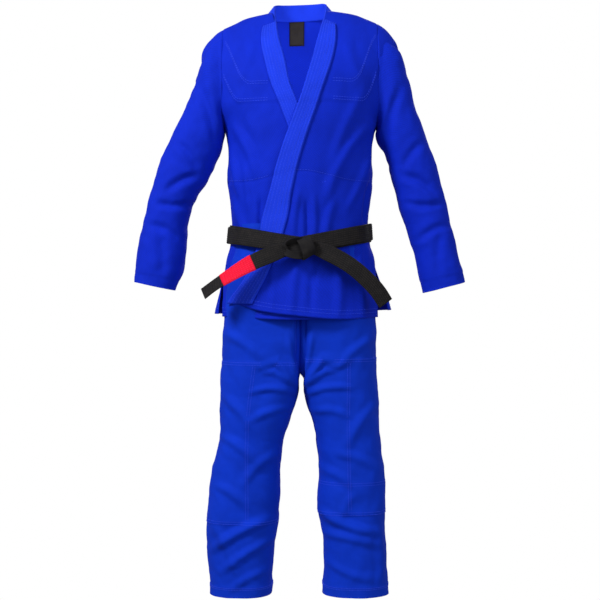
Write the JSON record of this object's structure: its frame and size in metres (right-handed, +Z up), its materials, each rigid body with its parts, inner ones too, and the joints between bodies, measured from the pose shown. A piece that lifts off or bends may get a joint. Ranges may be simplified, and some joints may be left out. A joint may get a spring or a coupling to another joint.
{
  "type": "martial arts uniform",
  "caption": "Grappling gi with a crossed-lapel jacket, a knotted flat belt and reinforced trousers, worn shape; sleeves, legs, belt ends and the whole jacket move",
  "frame": {"origin": "middle of the trousers' waist opening, at its top edge, where the wearer's waist holds the uniform up", "axes": "+Z up along the body, front faces -Y, +X is the wearer's left"},
  "size_m": [0.834, 0.3253, 1.4781],
  "materials": {
    "pearl_weave": "matt pearl-weave cotton, royal blue",
    "lapel_twill": "stitched cotton twill, royal blue",
    "trouser_twill": "fine cotton twill, royal blue",
    "belt_cotton": "row-stitched black cotton",
    "rank_bar_cotton": "plain red cotton",
    "label_cloth": "blank black woven label",
    "lapel_core_rubber": "foamed rubber strip inside the lapel"
  },
  "bodies": {
    "trousers": {"waistband": "trouser_twill", "seat_left": "trouser_twill", "seat_right": "trouser_twill", "loop_front_left": "trouser_twill", "loop_front_right": "trouser_twill", "loop_side_left": "trouser_twill", "loop_side_right": "trouser_twill", "loop_back_left": "trouser_twill", "loop_back_right": "trouser_twill"},
    "jacket": {"jacket_back": "pearl_weave", "back_yoke": "pearl_weave", "jacket_front_left": "pearl_weave", "jacket_front_right": "pearl_weave", "shoulder_patch_left": "pearl_weave", "shoulder_patch_right": "pearl_weave", "vent_patch_left": "pearl_weave", "vent_patch_right": "pearl_weave", "lapel_core_left": "lapel_core_rubber", "lapel_core_right": "lapel_core_rubber", "lapel_cover_left": "lapel_twill", "lapel_cover_right": "lapel_twill", "collar_core": "lapel_core_rubber", "collar_cover": "lapel_twill", "neck_label": "label_cloth", "belt_wrap": "belt_cotton", "belt_knot": "belt_cotton"},
    "upper_arm_left": {"upper_sleeve_left": "pearl_weave", "underarm_gusset_left": "pearl_weave"},
    "forearm_left": {"lower_sleeve_left": "pearl_weave", "cuff_band_left": "pearl_weave"},
    "upper_leg_left": {"thigh_left": "trouser_twill", "knee_patch_left": "trouser_twill", "crotch_gusset_left": "trouser_twill"},
    "lower_leg_left": {"shin_left": "trouser_twill", "shin_patch_left": "trouser_twill", "ankle_band_left": "trouser_twill"},
    "upper_arm_right": {"upper_sleeve_right": "pearl_weave", "underarm_gusset_right": "pearl_weave"},
    "forearm_right": {"lower_sleeve_right": "pearl_weave", "cuff_band_right": "pearl_weave"},
    "upper_leg_right": {"thigh_right": "trouser_twill", "knee_patch_right": "trouser_twill", "crotch_gusset_right": "trouser_twill"},
    "lower_leg_right": {"shin_right": "trouser_twill", "shin_patch_right": "trouser_twill", "ankle_band_right": "trouser_twill"},
    "belt_end_left": {"belt_tail_left": "belt_cotton"},
    "belt_end_right": {"belt_tail_right": "belt_cotton", "rank_bar": "rank_bar_cotton"}
  },
  "joints": [
    {"name": "jacket_lift", "type": "slide", "parent": "trousers", "child": "jacket", "axis": [0, 0, 1], "range_m": [0, 0.3]},
    {"name": "shoulder_left", "type": "hinge", "parent": "jacket", "child": "upper_arm_left", "pos_m": [0.194, 0, 0.4], "axis": [-1, 0, 0], "range_deg": [-45, 120]},
    {"name": "elbow_left", "type": "hinge", "parent": "upper_arm_left", "child": "forearm_left", "pos_m": [0.316, 0, 0.045], "axis": [-1, 0, 0], "range_deg": [0, 85]},
    {"name": "hip_left", "type": "hinge", "parent": "trousers", "child": "upper_leg_left", "pos_m": [0.0975, 0, -0.36], "axis": [-1, 0, 0], "range_deg": [-25, 70]},
    {"name": "knee_left", "type": "hinge", "parent": "upper_leg_left", "child": "lower_leg_left", "pos_m": [0.121, 0, -0.54], "axis": [1, 0, 0], "range_deg": [0, 75]},
    {"name": "shoulder_right", "type": "hinge", "parent": "jacket", "child": "upper_arm_right", "pos_m": [-0.194, 0, 0.4], "axis": [-1, 0, 0], "range_deg": [-45, 120]},
    {"name": "elbow_right", "type": "hinge", "parent": "upper_arm_right", "child": "forearm_right", "pos_m": [-0.316, 0, 0.045], "axis": [-1, 0, 0], "range_deg": [0, 85]},
    {"name": "hip_right", "type": "hinge", "parent": "trousers", "child": "upper_leg_right", "pos_m": [-0.0975, 0, -0.36], "axis": [-1, 0, 0], "range_deg": [-25, 70]},
    {"name": "knee_right", "type": "hinge", "parent": "upper_leg_right", "child": "lower_leg_right", "pos_m": [-0.121, 0, -0.54], "axis": [1, 0, 0], "range_deg": [0, 75]},
    {"name": "belt_end_left_swing", "type": "hinge", "parent": "jacket", "child": "belt_end_left", "pos_m": [0.003, -0.169, -0.05], "axis": [-1, 0, 0], "range_deg": [0, 95]},
    {"name": "belt_end_right_swing", "type": "hinge", "parent": "jacket", "child": "belt_end_right", "pos_m": [0.003, -0.169, -0.05], "axis": [-1, 0, 0], "range_deg": [0, 95]}
  ]
}
